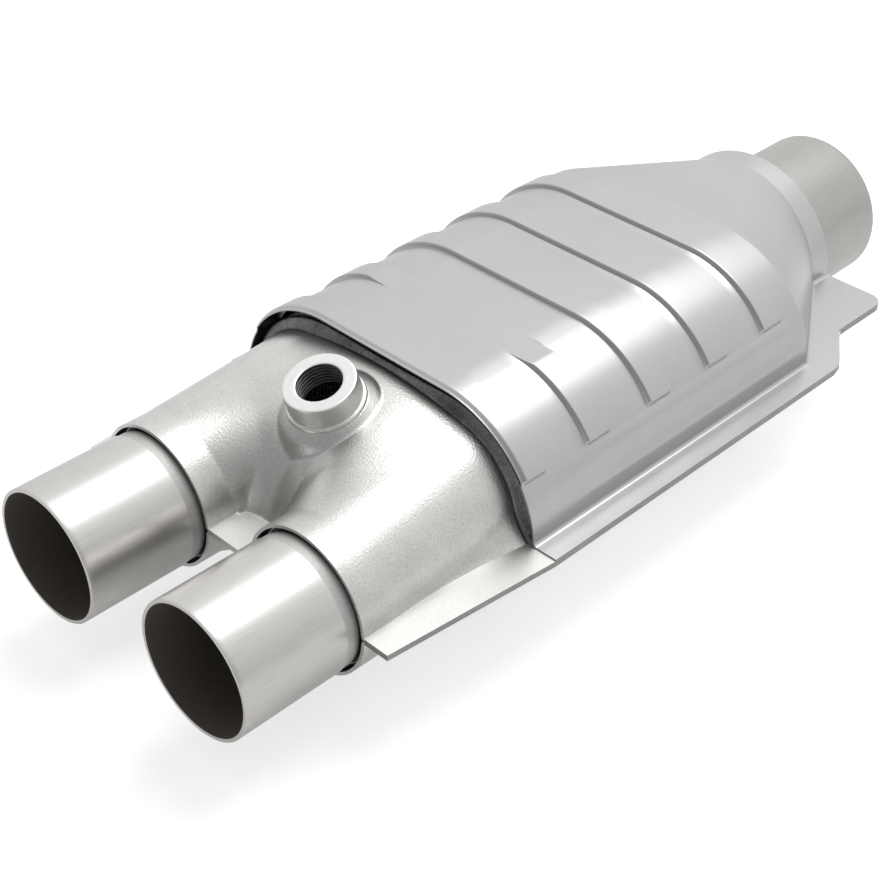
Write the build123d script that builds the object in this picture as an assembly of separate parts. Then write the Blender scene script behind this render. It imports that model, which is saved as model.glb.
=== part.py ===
from build123d import *
import math
import os

# Catalytic converter with two inlet pipes, one outlet pipe and a ribbed heat shield.
# Millimetres. Everything is drawn with y counted from the cut ends of the inlet pipes
# and z counted from the plane in which the two half shells meet, and place() then
# moves each piece so that the origin is under the middle of the part, on its lowest face.

# Pipes
INLET_R = 25.4            # outer radius of each inlet pipe
INLET_SPACING = 77.5      # distance between the two inlet axes
OUTLET_R = 31.75          # outer radius of the outlet pipe
PIPE_WALL = 1.4
INLET_OUT = 47.0          # free length of an inlet pipe, end to socket mouth
OUTLET_OUT = 47.5         # free length of the outlet pipe
PIPE_GRIP = 15.0          # length of pipe inside its socket
SIZED_BAND = 4.7          # the pipe is sized from this far outside the mouth, inwards
SIZED_CUT = 0.4           # by so much smaller in radius there, wall thickness kept
SOCKET_GAP = 1.15         # play between pipe and socket, filled by the weld
WELD_INSET = 4.0          # weld stands back from the socket mouth by this
WELD_LENGTH = 3.0

# Half shells
SHEET = 1.2               # shell sheet thickness
SOCKET_LENGTH = 11.3      # straight length of an inlet socket
HUMP_LENGTH = 60.2        # from the sockets to the chamber step
STEP_LENGTH = 2.5         # under the shield lip, before the chamber starts
CHAMBER_LENGTH = 155.5    # from the shield lip to the rear crease
CONE_LENGTH = 50.5        # rear cone
COLLAR_LENGTH = 10.5      # straight end behind the cone
ARC_CENTRE = 30.0         # chamber section: two half rounds this far off centre
BODY_R = 41.0             # outer radius of those half rounds
CROWN_INSET = 5.7         # where the humps meet the chamber they are this much narrower
CROWN_DROP = 1.7          # and their middle is this much lower
CROWN_SHOULDER_Z = 4.8    # height of the shoulder's centre there
CROWN_SHOULDER_CUT = 10.2  # the shoulder's radius is this much under the body's
SOCKET_SPLITS = [0, 4, 80, 172]  # degrees at which side, shoulder and crown start and end
# Middle line of the valley: distance behind the sockets, height (stretched to fit the crown)
VALLEY_LINE = [(6.0, 0), (9.7, 10.5), (13.7, 18.5), (17.7, 23.4), (23.7, 30.0), (31.7, 34.8), (45.7, 38.2)]
VALLEY_DROP = 1.1         # the line's last point lies this much under the crown
CROTCH_BOW = 4.3          # the valley's wall starts this much nearer at the sides
CROTCH_HALF = 13.5        # half width of its level part
VALLEY_HALF = 28.0        # half width at which its sloping sides end
VALLEY_FALL = 8.0         # and how far they fall

# Rim flange
FLANGE_SETBACK = 0.5      # its front edge stands behind the socket mouths
FRONT_LAND = 10.7         # flange width outside the sockets
SIDE_LAND = 10.0          # flange width outside the shield wall
TAB_LAND = 28.0           # flange width outside the rear collar
NOTCH_START = 8.3         # the flange narrows from this far behind the rear crease
NOTCH_LENGTH = 21.0
TAB_CORNER_R = 6.0

# Heat shield
SHIELD_SHEET = 0.6
SHIELD_AIR = 2.4          # air between shell and shield, between the ribs
RIB_HEIGHT = 1.78
RIB_WIDTH = 11.5
RIB_PITCH = 33.0
RIB_COUNT = 5
RIB_STEP = 1.1            # width of the slope at each edge of a rib
RIB_LOW = 30.5            # degrees above the flange plane where a rib's end slope starts
RIB_HIGH = 34.5           # degrees where it reaches the rib's full height
RIB_ROOT = 1.0            # depth of a rib's edge inside the shield's solid form
LIP_RISE = 0.8            # the front rib starts this high, and climbs within LIP_RAMP
LIP_RAMP = 2.0
PAD_RISE = 0.3            # flat pad over the low bands
PAD_HALF = 28.8
PAD_FRONT = 11.5          # distance from the shield lip to the pad
PAD_LENGTH = 53.3
COLLAR_AIR = 6.5          # air between the neck and the shield's round rear collar

# Sensor boss on its pedestal
BOSS_TILT = 18.4          # degrees, towards the inlets
BOSS_BACK = 31.7          # face centre, behind the sockets
BOSS_RISE = 5.5           # face centre, above the chamber roof
BOSS_HEIGHT = 9.6
BOSS_TOP_R = 13.2
BOSS_BASE_R = 13.5
BOSS_CHAMFER = 0.5
THREAD_R = 8.19           # core radius of the M18 x 1.5 thread
THREAD_CHAMFER = 1.0
BOSS_WELD = 1.3
BEAD_BULGE = 0.6          # share of the weld's size at the middle of its arc
PEDESTAL_R = 15.8
PEDESTAL_DRAFT = 27.0     # degrees
PEDESTAL_DEPTH = 20.0
PORT_CLEARANCE = 0.8      # hole in the shell under the boss

# Catalyst bricks and their mats
MAT_THICKNESS = 5.0
BRICK_INSET = 5.0         # from each end of the chamber to the nearest brick
BRICK_SPACING = 11.0      # between the two bricks
SEAL_LENGTH = 5.0         # knitted wire at each edge of a mat
CELL_PITCH = 10.8         # coarse stand-in for the fine cells
CELL_WALL = 2.6

# Stations along y
y_mouth = INLET_OUT
y_hump = y_mouth + SOCKET_LENGTH
y_lip = y_hump + HUMP_LENGTH
y_chamber = y_lip + STEP_LENGTH
y_crease = y_lip + CHAMBER_LENGTH
y_neck = y_crease + CONE_LENGTH
y_rear = y_neck + COLLAR_LENGTH
y_end = y_rear + OUTLET_OUT

inlet_x = INLET_SPACING / 2
socket_r = INLET_R + SOCKET_GAP + SHEET
neck_r = OUTLET_R + SOCKET_GAP + SHEET
shield_r = BODY_R + SHIELD_AIR + SHIELD_SHEET
collar_r = neck_r + COLLAR_AIR + SHIELD_SHEET
crown_half = ARC_CENTRE + BODY_R - CROWN_INSET
crown_height = BODY_R - CROWN_DROP
brick_r = BODY_R - SHEET - MAT_THICKNESS
tiny = 0.05               # a round end is drawn as a stadium with this half flat
past = 1.0                # inner forms run this far past an open end


def place(shape):
    return Pos(0, -y_end / 2, BODY_R) * shape


def station(y):
    return Plane(origin=(0, y, 0), x_dir=(1, 0, 0), z_dir=(0, -1, 0))


def prism(section, y0, y1):
    return extrude(station(y0) * section, y0 - y1)


def stadium(half, r):
    top = Line((half, r), (-half, r))
    left = ThreePointArc((-half, r), (-half - r, 0), (-half, -r))
    bottom = Line((-half, -r), (half, -r))
    right = ThreePointArc((half, -r), (half + r, 0), (half, r))
    return make_face([top, left, bottom, right])


def slab(z0, z1, y0):
    """A plate with the plan of the rim flange, starting at y0."""
    rim_half = ARC_CENTRE + shield_r + SIDE_LAND
    front_half = inlet_x + socket_r + FRONT_LAND
    tab_half = collar_r + TAB_LAND
    y_front = y_mouth + FLANGE_SETBACK
    y_notch = y_crease + NOTCH_START
    right = [
        (front_half, y_front),
        (rim_half, y_lip),
        (rim_half, y_notch),
        (tab_half, y_notch + NOTCH_LENGTH),
        (tab_half, y_rear),
    ]
    left = [(-x, y) for x, y in reversed(right)]
    plan = make_face(Polyline(right + left, close=True))
    corners = plan.vertices().filter_by(lambda v: abs(v.Y - y_rear) < 0.01)
    plan = fillet(corners, TAB_CORNER_R)
    plate = Pos(0, 0, z0) * extrude(plan, z1 - z0)
    keep = Box(3 * rim_half, y_end, 4 * BODY_R, align=(Align.CENTER, Align.MIN, Align.CENTER))
    return plate & (Pos(0, y0, 0) * keep)


def arc_point(cx, cz, r, degrees):
    a = math.radians(degrees)
    return (cx + r * math.cos(a), cz + r * math.sin(a))


def hump_sections(inset):
    """Round socket section and crowned chamber section of the right-hand inlet."""
    r = socket_r - inset
    rise = [arc_point(inlet_x, 0, r, a) for a in SOCKET_SPLITS]
    mids = [arc_point(inlet_x, 0, r, (a + b) / 2) for a, b in zip(SOCKET_SPLITS, SOCKET_SPLITS[1:])]
    upper = [ThreePointArc(rise[i], mids[i], rise[i + 1]) for i in range(3)]
    inner = ThreePointArc(rise[3], (inlet_x - r, 0), (rise[3][0], -rise[3][1]))
    lower = [mirror(e, Plane.XZ) for e in upper]
    round_end = make_face(upper + [inner] + lower)

    half = crown_half - inset
    shoulder = BODY_R - CROWN_SHOULDER_CUT - inset
    height = crown_height - inset
    cx = half - shoulder
    d = height - CROWN_SHOULDER_Z
    crown = (cx ** 2 + d ** 2 - shoulder ** 2) / (2 * (d - shoulder))
    lean = math.degrees(math.atan2(cx, CROWN_SHOULDER_Z - height + crown))
    side = Line((half, 0), (half, CROWN_SHOULDER_Z))
    turn = CenterArc((cx, CROWN_SHOULDER_Z), shoulder, 0, 90 - lean)
    join = arc_point(cx, CROWN_SHOULDER_Z, shoulder, 90 - lean)
    mid = arc_point(0, height - crown, crown, 90 - lean / 2)
    roof = ThreePointArc(join, mid, (0, height))
    upper = [side, turn, roof]
    middle = Line((0, height), (0, -height))
    lower = [mirror(e, Plane.XZ) for e in upper]
    wide_end = make_face(upper + [middle] + lower)
    return round_end, wide_end


def inlet_half(inset):
    """One inlet of the Y: socket, hump and the short run into the chamber."""
    round_end, wide_end = hump_sections(inset)
    open_end = past if inset else 0.0
    socket = prism(Pos(inlet_x, 0) * Circle(socket_r - inset), y_mouth - open_end, y_hump)
    hump = loft([station(y_hump) * round_end, station(y_lip) * wide_end], ruled=True)
    run = prism(wide_end, y_lip, y_chamber + 2 * SHEET)
    return socket + hump + run


def valley_side(inset, bow, fall):
    """Side view of the valley's filling, with its foot moved by bow and its top lowered."""
    stretch = (crown_height - VALLEY_DROP) / VALLEY_LINE[-1][1]
    foot_z = VALLEY_LINE[0][1] * stretch - fall
    top = [(y_hump + y - bow + inset, z * stretch - fall - inset) for y, z in VALLEY_LINE[1:]]
    back = y_lip + past
    crown = crown_height - fall - inset
    foot = (y_hump + VALLEY_LINE[0][0] - bow + inset, min(foot_z, 0))
    line = [foot] + top + [(y_lip, crown), (back, crown), (back, -BODY_R), (foot[0], -BODY_R)]
    return Plane.YZ * make_face(Polyline(line, close=True))


def valley(inset):
    """The wall between the two inlets and the slope behind it, for the upper half."""
    middle = valley_side(inset, 0, 0)
    edge = Pos(CROTCH_HALF, 0, 0) * valley_side(inset, CROTCH_BOW, 0)
    side = Pos(VALLEY_HALF, 0, 0) * valley_side(inset, CROTCH_BOW, VALLEY_FALL)
    right = loft([middle, edge], ruled=True) + loft([edge, side], ruled=True)
    upper = (right + mirror(right, Plane.YZ)) & upper_half(0)
    return upper + mirror(upper, Plane.XY)


def shell_form(inset):
    """The converter's solid outer form, or that form drawn in by the sheet."""
    right = inlet_half(inset)
    form = right + mirror(right, Plane.YZ) + valley(inset)
    open_end = past if inset else 0.0
    form += prism(stadium(ARC_CENTRE, BODY_R - inset), y_chamber + inset, y_crease)
    form += loft(
        [
            station(y_crease) * stadium(ARC_CENTRE, BODY_R - inset),
            station(y_neck) * stadium(tiny, neck_r - inset),
        ],
        ruled=True,
    )
    form += prism(stadium(tiny, neck_r - inset), y_neck, y_rear + open_end)
    return form


def boss_frame():
    """Origin on the boss's face, Z along its axis and outwards."""
    t = math.radians(BOSS_TILT)
    return Plane(
        origin=(0, y_hump + BOSS_BACK, BODY_R + BOSS_RISE),
        x_dir=(1, 0, 0),
        z_dir=(0, -math.sin(t), math.cos(t)),
    )


def pedestal(inset):
    """Drafted round seat that is pressed up under the boss."""
    draft = math.radians(PEDESTAL_DRAFT)
    top = PEDESTAL_R - inset * math.cos(draft)
    low = PEDESTAL_R + PEDESTAL_DEPTH * math.tan(draft) - inset / math.cos(draft)
    z1 = -BOSS_HEIGHT - inset
    z0 = -BOSS_HEIGHT - PEDESTAL_DEPTH
    cone = make_face(Polyline([(0, z0), (low, z0), (top, z1), (0, z1)], close=True))
    return boss_frame() * revolve(Plane.XZ * cone, Axis.Z)


def upper_half(low):
    size = 4 * y_end
    return Pos(0, 0, low) * Box(size, size, size, align=(Align.CENTER, Align.CENTER, Align.MIN))


def half_shell(with_port):
    outer = shell_form(0) + slab(-SHEET, SHEET, 0)
    inner = shell_form(SHEET)
    if with_port:
        outer += pedestal(0)
        inner += pedestal(SHEET)
        hole = Cylinder(THREAD_R + PORT_CLEARANCE, 4 * BOSS_HEIGHT)
        inner += boss_frame() * (Pos(0, 0, -BOSS_HEIGHT) * hole)
    return (outer - inner) & upper_half(0)


def rib_section(r, inset):
    """Upper part of the shield's section at radius r, with sloping feet."""
    end = arc_point(ARC_CENTRE, 0, r, RIB_HIGH)
    foot = arc_point(ARC_CENTRE, 0, shield_r - inset - RIB_ROOT, RIB_LOW)
    mid = arc_point(ARC_CENTRE, 0, r, (90 + RIB_HIGH) / 2)
    right = [Line(foot, end), ThreePointArc(end, mid, (ARC_CENTRE, r))]
    top = Line((ARC_CENTRE, r), (-ARC_CENTRE, r))
    left = [mirror(e, Plane.YZ) for e in right]
    bottom = Line((-foot[0], foot[1]), foot)
    return make_face(right + [top] + left + [bottom])


def rib(index, inset):
    y0 = y_lip + index * RIB_PITCH
    y1 = y0 + RIB_WIDTH
    low = shield_r - inset
    high = shield_r + RIB_HEIGHT - inset
    half = RIB_STEP / 2
    if index == 0:
        stations = [(y0, low + LIP_RISE), (y0 + LIP_RAMP, high)]
        if inset:
            stations.insert(0, (y0 - past, low + LIP_RISE))
    else:
        stations = [(y0 - half, low), (y0 + half, high)]
    stations += [(y1 - half, high), (y1 + half, low)]
    return loft([station(y) * rib_section(r, inset) for y, r in stations], ruled=True)


def shield_form(inset):
    """Ribbed cover, drawn solid, with its flat pad, rear cone and collar."""
    low = shield_r - inset
    pad_z = shield_r + PAD_RISE - inset
    open_end = past if inset else 0.0
    form = prism(stadium(ARC_CENTRE, low), y_lip - open_end, y_crease)
    pad_y0 = y_lip + PAD_FRONT + inset
    pad_y1 = y_lip + PAD_FRONT + PAD_LENGTH - inset
    pad = Box(2 * (PAD_HALF - inset), pad_y1 - pad_y0, pad_z, align=(Align.CENTER, Align.MIN, Align.MIN))
    form += Pos(0, pad_y0, 0) * pad
    for i in range(RIB_COUNT):
        band = rib(i, inset)
        y_mid = y_lip + i * RIB_PITCH + RIB_WIDTH / 2
        if pad_y0 < y_mid < pad_y1:
            band -= Pos(0, 0, pad_z) * upper_half(0)
        form += band
    form += loft(
        [
            station(y_crease) * stadium(ARC_CENTRE, low),
            station(y_neck) * stadium(tiny, collar_r - inset),
        ],
        ruled=True,
    )
    form += prism(stadium(tiny, collar_r - inset), y_neck, y_rear + open_end)
    return form


def make_heat_shield():
    flange = slab(SHEET, SHEET + SHIELD_SHEET, y_lip)
    cover = shield_form(0) + flange
    return (cover - shield_form(SHIELD_SHEET)) & upper_half(SHEET)


def ring(x, r_out, r_in, y0, y1):
    return prism(Pos(x, 0) * (Circle(r_out) - Circle(r_in)), y0, y1)


def pipe(x, r, y_free, y_inner, y_socket):
    """Tube from its free end to its inner end, sized where it enters its socket."""
    step = y_socket + math.copysign(SIZED_BAND, y_free - y_socket)
    sized = r - SIZED_CUT
    full = ring(x, r, r - PIPE_WALL, min(y_free, step), max(y_free, step))
    return full + ring(x, sized, sized - PIPE_WALL, min(step, y_inner), max(step, y_inner))


def make_sensor_boss():
    """Turned boss, slightly tapered, bored to the thread's core."""
    c = BOSS_CHAMFER
    t = THREAD_CHAMFER
    h = BOSS_HEIGHT
    half = [
        (THREAD_R, -h),
        (BOSS_BASE_R, -h),
        (BOSS_TOP_R, -c),
        (BOSS_TOP_R - c, 0),
        (THREAD_R + t, 0),
        (THREAD_R, -t),
    ]
    return boss_frame() * revolve(Plane.XZ * make_face(Polyline(half, close=True)), Axis.Z)


def make_boss_weld():
    """Bead in the corner between boss and pedestal."""
    w = BOSS_WELD
    z = -BOSS_HEIGHT
    slope = (BOSS_BASE_R - BOSS_TOP_R) / BOSS_HEIGHT
    side = (BOSS_BASE_R - w * slope, z + w)
    bulge = (BOSS_BASE_R + BEAD_BULGE * w, z + BEAD_BULGE * w)
    bead = ThreePointArc(side, bulge, (BOSS_BASE_R + w, z))
    seat = Polyline([(BOSS_BASE_R + w, z), (BOSS_BASE_R, z), side])
    return boss_frame() * revolve(Plane.XZ * make_face([bead, seat]), Axis.Z)


def make_brick(y0, y1):
    """Honeycomb with square cells right through it."""
    web = CELL_WALL
    body = stadium(ARC_CENTRE, brick_r)
    size = CELL_PITCH - CELL_WALL
    nx = int((ARC_CENTRE + brick_r) / CELL_PITCH)
    nz = int(brick_r / CELL_PITCH)
    cells = []
    for i in range(-nx, nx + 1):
        for k in range(-nz, nz + 1):
            x = abs(i) * CELL_PITCH + size / 2
            z = abs(k) * CELL_PITCH + size / 2
            if math.hypot(max(x - ARC_CENTRE, 0), z) < brick_r - web / 2:
                cells.append(Pos(i * CELL_PITCH, k * CELL_PITCH))
    return prism(body - cells * Rectangle(size, size), y0, y1)


def sleeve(y0, y1):
    band = stadium(ARC_CENTRE, BODY_R - SHEET) - stadium(ARC_CENTRE, brick_r)
    return prism(band, y0, y1)


os.makedirs("parts", exist_ok=True)

brick_length = (y_crease - y_chamber - 2 * BRICK_INSET - BRICK_SPACING) / 2
y_front_brick = y_chamber + BRICK_INSET
y_rear_brick = y_front_brick + brick_length + BRICK_SPACING

nodes = {
    "upper_shell": half_shell(True),
    "lower_shell": mirror(half_shell(False), Plane.XY),
    "heat_shield": make_heat_shield(),
    "inlet_pipe_left": pipe(-inlet_x, INLET_R, 0, y_mouth + PIPE_GRIP, y_mouth),
    "inlet_pipe_right": pipe(inlet_x, INLET_R, 0, y_mouth + PIPE_GRIP, y_mouth),
    "outlet_pipe": pipe(0, OUTLET_R, y_end, y_rear - PIPE_GRIP, y_rear),
    "sensor_boss": make_sensor_boss(),
    "sensor_boss_weld": make_boss_weld(),
}

weld_y = y_mouth + WELD_INSET
for side, x in (("left", -inlet_x), ("right", inlet_x)):
    weld = ring(x, INLET_R + SOCKET_GAP, INLET_R - SIZED_CUT, weld_y, weld_y + WELD_LENGTH)
    nodes["inlet_weld_" + side] = weld
weld_y = y_rear - WELD_INSET - WELD_LENGTH
weld = ring(0, OUTLET_R + SOCKET_GAP, OUTLET_R - SIZED_CUT, weld_y, weld_y + WELD_LENGTH)
nodes["outlet_weld"] = weld

for name, y0 in (("front", y_front_brick), ("rear", y_rear_brick)):
    y1 = y0 + brick_length
    nodes[name + "_brick"] = make_brick(y0, y1)
    nodes[name + "_mat"] = sleeve(y0 + SEAL_LENGTH, y1 - SEAL_LENGTH)
    nodes[name + "_mat_seal_inlet"] = sleeve(y0, y0 + SEAL_LENGTH)
    nodes[name + "_mat_seal_outlet"] = sleeve(y1 - SEAL_LENGTH, y1)

for name, shape in nodes.items():
    export_step(place(shape), "parts/" + name + ".step")
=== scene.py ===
import bpy
import math
import numpy as np
from mathutils import Matrix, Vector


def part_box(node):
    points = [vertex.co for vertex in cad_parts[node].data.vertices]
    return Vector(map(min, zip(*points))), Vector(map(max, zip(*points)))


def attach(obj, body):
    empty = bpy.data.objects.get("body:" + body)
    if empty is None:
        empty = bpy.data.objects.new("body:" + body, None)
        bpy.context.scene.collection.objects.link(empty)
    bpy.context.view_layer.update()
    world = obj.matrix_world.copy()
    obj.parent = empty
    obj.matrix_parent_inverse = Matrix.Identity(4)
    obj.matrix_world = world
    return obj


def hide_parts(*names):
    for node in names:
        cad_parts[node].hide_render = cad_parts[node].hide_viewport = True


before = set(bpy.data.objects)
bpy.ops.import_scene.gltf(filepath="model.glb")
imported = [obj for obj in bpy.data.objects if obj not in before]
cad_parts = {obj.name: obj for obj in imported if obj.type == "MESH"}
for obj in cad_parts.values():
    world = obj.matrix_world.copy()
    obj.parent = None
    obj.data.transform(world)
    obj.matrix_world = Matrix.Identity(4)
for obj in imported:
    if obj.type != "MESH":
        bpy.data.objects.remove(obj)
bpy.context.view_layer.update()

# Lengths are in millimetres, y counted from the cut inlet ends and z from the seam
# between the half shells, until toRow moves them into the part's frame, in metres.
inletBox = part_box("inlet_pipe_left")
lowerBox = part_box("lower_shell")
rowShift = np.array([0.0, inletBox[0][1] * 1000, lowerBox[1][2] * 1000])

converter = {
    "pipeEnd": 62.0,
    "mouth": 47.0,
    "humpStart": 58.3,
    "lip": 118.5,
    "chamber": 121.0,
    "crease": 274.0,
    "neck": 324.5,
    "rear": 335.0,
    "end": 382.5,
    "sheet": 1.2,
    "edgeTop": 2.0,
    "inletX": 38.75,
    "socketR": 27.75,
    "neckR": 34.1,
    "bodyR": 41.0,
    "arcCentre": 30.0,
}


def toRow(points):
    return (points + rowShift) * 0.001


def smoothMax(a, b, blend):
    # The larger of two heights, with the corner between them rounded over a height of blend
    overlap = np.clip(blend - np.abs(a - b), 0, None) / np.maximum(blend, 1e-6)
    return np.maximum(a, b) + overlap ** 2 * blend / 4


def smoothMin(a, b, blend):
    return -smoothMax(-a, -b, blend)


def ease(value, start, stop):
    # Smooth step: 0 before start, 1 after stop, level at both
    t = np.clip((value - start) / (stop - start), 0, 1)
    return t * t * (3 - 2 * t)


def softRamp(value, width):
    # Zero below, the value itself above, with a parabola over plus and minus width
    middle = (value + width) ** 2 / (4 * width)
    return np.where(value < -width, 0, np.where(value > width, value, middle))


def joinRows(*pieces):
    return np.concatenate([np.atleast_1d(np.asarray(p, float)) for p in pieces])


def spanRows(spans):
    # Evenly spaced numbers over each span, given as its start, stop and count
    return np.concatenate([np.linspace(*span) for span in spans])


def rowsAbout(place, reach, count):
    return np.linspace(place - reach, place + reach, count)


def crowdedRows(start, stop, count):
    # Numbers that crowd towards the stop, as a sine does
    return start + (stop - start) * np.sin(np.pi * np.linspace(0, 1, count) / 2)


def gridFaces(rows, cols, wrapRows=False, wrapCols=False, first=0):
    # Four corners of each cell of a grid whose points are numbered row by row
    i = np.arange(rows if wrapRows else rows - 1)
    j = np.arange(cols if wrapCols else cols - 1)
    i, j = np.meshgrid(i, j, indexing="ij")
    i2 = (i + 1) % rows
    j2 = (j + 1) % cols
    quads = np.stack([i * cols + j, i * cols + j2, i2 * cols + j2, i2 * cols + j], axis=-1)
    return quads.reshape(-1, 4) + first


def makeObject(name, points, quads, materials, faceMaterial=None, sharpAngle=38.0):
    # One mesh object from points in the row frame, in metres, and four-cornered faces
    mesh = bpy.data.meshes.new(name)
    mesh.vertices.add(len(points))
    mesh.vertices.foreach_set("co", np.asarray(points, np.float32).ravel())
    mesh.loops.add(quads.size)
    mesh.loops.foreach_set("vertex_index", quads.astype(np.int32).ravel())
    mesh.polygons.add(len(quads))
    mesh.polygons.foreach_set("loop_start", np.arange(0, quads.size, 4, dtype=np.int32))
    mesh.update(calc_edges=True)
    mesh.validate()
    for material in materials:
        mesh.materials.append(material)
    if faceMaterial is not None:
        mesh.polygons.foreach_set("material_index", np.asarray(faceMaterial, np.int32))
    mesh.polygons.foreach_set("use_smooth", np.ones(len(mesh.polygons), bool))
    mesh.set_sharp_from_angle(angle=math.radians(sharpAngle))
    mesh.update()
    piece = bpy.data.objects.new(name, mesh)
    bpy.context.scene.collection.objects.link(piece)
    return piece


def gridNormals(grid):
    along = np.gradient(grid, axis=0)
    across = np.gradient(grid, axis=1)
    normal = np.cross(across, along)
    size = np.linalg.norm(normal, axis=-1, keepdims=True)
    return normal / np.maximum(size, 1e-9)


def sheetPiece(name, grid, thickness, looks, kinds=None, keep=None, flip=False):
    # A pressed sheet: its outer face is the grid, its inner face lies one thickness inside
    # along the normals, and a strip of faces closes each open edge. looks names the finishes
    # of outer face, inner face and cut flange edge, and then those that kinds points to.
    rows, cols = grid.shape[:2]
    inner = grid - gridNormals(grid) * thickness
    points = np.concatenate([grid.reshape(-1, 3), inner.reshape(-1, 3)])
    if flip:
        points = points * np.array([1.0, 1.0, -1.0])
    count = rows * cols
    outerFaces = gridFaces(rows, cols)
    kind = np.zeros(len(outerFaces), int) if kinds is None else kinds.ravel()
    if keep is not None:
        outerFaces = outerFaces[keep.ravel()]
        kind = kind[keep.ravel()]
    edges = np.concatenate([outerFaces[:, [k, (k + 1) % 4]] for k in range(4)])
    key = np.sort(edges, axis=1)
    key = key[:, 0] * count + key[:, 1]
    _, place, uses = np.unique(key, return_index=True, return_counts=True)
    first, second = edges[place[uses == 1]].T
    edgeFaces = np.stack([second, first, first + count, second + count], axis=1)
    # Cut edges out on the flange take the third finish; the edge finish given there is painted shade
    onFlange = np.abs(points[edgeFaces, 0]).min(axis=1) > converter["inletX"] + converter["socketR"]
    onFlange &= np.abs(points[edgeFaces, 2]).max(axis=1) < converter["edgeTop"]
    quads = np.concatenate([outerFaces, outerFaces[:, ::-1] + count, edgeFaces])
    kind = np.concatenate([kind, np.ones(len(outerFaces), int), np.where(onFlange, 2, 0)])
    if flip:
        quads = quads[:, ::-1]
    used, quads = np.unique(quads, return_inverse=True)
    materials = [materialOf[n] for n in looks]
    return makeObject(name, toRow(points[used]), quads.reshape(-1, 4), materials, kind)


def aroundAxis(radius, along, centre, axis, turns):
    # Profile points (radius, distance along the axis) carried round the axis
    axis = np.asarray(axis, float)
    side = np.array([1.0, 0.0, 0.0])
    other = np.cross(axis, side)
    angle = np.linspace(0, 2 * np.pi, turns, endpoint=False)
    ring = np.cos(angle)[:, None] * side + np.sin(angle)[:, None] * other
    radius = np.asarray(radius, float)
    if radius.ndim == 1:
        radius = np.repeat(radius[:, None], turns, axis=1)
    along = np.asarray(along, float)[:, None, None]
    return np.asarray(centre) + along * axis + radius[..., None] * ring[None]


def turnedPiece(name, radius, along, centre, axis, turns, materials, boreRows=None):
    # A closed turned piece: the profile runs round its own section and meets itself. The rows
    # from the first of boreRows to before the second take the second material.
    grid = aroundAxis(radius, along, centre, axis, turns)
    rows = grid.shape[0]
    quads = gridFaces(rows, turns, wrapRows=True, wrapCols=True)
    inBore = None
    if boreRows is not None:
        rowOf = np.repeat(np.arange(rows), turns)
        inBore = (rowOf >= boreRows[0]) & (rowOf < boreRows[1])
    return makeObject(name, toRow(grid.reshape(-1, 3)), quads, materials, inBore)


# Materials

def newMaterial(name, metallic, roughness):
    material = bpy.data.materials.new(name)
    material.use_nodes = True
    tree = material.node_tree
    shader = tree.nodes["Principled BSDF"]
    shader.inputs["Metallic"].default_value = metallic
    shader.inputs["Roughness"].default_value = roughness
    place = tree.nodes.new("ShaderNodeTexCoord")
    return material, tree, shader, place.outputs["Object"]


def stretched(tree, place, scale):
    mapping = tree.nodes.new("ShaderNodeMapping")
    mapping.inputs["Scale"].default_value = scale
    tree.links.new(place, mapping.inputs["Vector"])
    return mapping.outputs["Vector"]


def noiseOf(tree, vector, scale, detail=3.0, roughness=0.55):
    noise = tree.nodes.new("ShaderNodeTexNoise")
    noise.inputs["Scale"].default_value = scale
    noise.inputs["Detail"].default_value = detail
    noise.inputs["Roughness"].default_value = roughness
    tree.links.new(vector, noise.inputs["Vector"])
    return noise.outputs["Fac"]


def rangeOf(tree, value, low, high, outLow, outHigh):
    node = tree.nodes.new("ShaderNodeMapRange")
    node.inputs["From Min"].default_value = low
    node.inputs["From Max"].default_value = high
    node.inputs["To Min"].default_value = outLow
    node.inputs["To Max"].default_value = outHigh
    tree.links.new(value, node.inputs["Value"])
    return node.outputs["Result"]


def mathOf(tree, operation, a, b):
    node = tree.nodes.new("ShaderNodeMath")
    node.operation = operation
    for socket, value in zip(node.inputs, (a, b)):
        if isinstance(value, (int, float)):
            socket.default_value = value
        else:
            tree.links.new(value, socket)
    return node.outputs["Value"]


def colourBetween(tree, factor, first, second):
    mix = tree.nodes.new("ShaderNodeMix")
    mix.data_type = "RGBA"
    mix.inputs["A"].default_value = (*first, 1.0)
    mix.inputs["B"].default_value = (*second, 1.0)
    tree.links.new(factor, mix.inputs["Factor"])
    return mix.outputs["Result"]


def bumpOf(tree, shader, height, distance, strength):
    bump = tree.nodes.new("ShaderNodeBump")
    bump.inputs["Distance"].default_value = distance
    bump.inputs["Strength"].default_value = strength
    tree.links.new(height, bump.inputs["Height"])
    tree.links.new(bump.outputs["Normal"], shader.inputs["Normal"])


# Noise values that stand for the darkest and the lightest shade
shadeSpan = (0.3, 0.7)


def finishMaterial(name, look):
    # Fine grain gives the height. Grain and broad clouds together move colour and roughness.
    material, tree, shader, place = newMaterial(name, look["metallic"], look["roughness"])
    even = stretched(tree, place, look.get("stretch", (1, 1, 1)))
    grain = noiseOf(tree, even, look["grainScale"], 2.0)
    clouds = noiseOf(tree, place, look["cloudScale"], 4.0, 0.6)
    shade = mathOf(tree, "ADD", mathOf(tree, "MULTIPLY", grain, look["grainShare"]),
                   mathOf(tree, "MULTIPLY", clouds, 1 - look["grainShare"]))
    factor = rangeOf(tree, shade, *shadeSpan, 0.0, 1.0)
    colour = colourBetween(tree, factor, look["dark"], look["light"])
    tree.links.new(colour, shader.inputs["Base Color"])
    spread = look["roughSpread"]
    rough = rangeOf(tree, shade, *shadeSpan, look["roughness"] + spread, look["roughness"] - spread)
    tree.links.new(rough, shader.inputs["Roughness"])
    bumpOf(tree, shader, grain, look["bumpDistance"], look["bumpStrength"])
    return material


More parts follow.
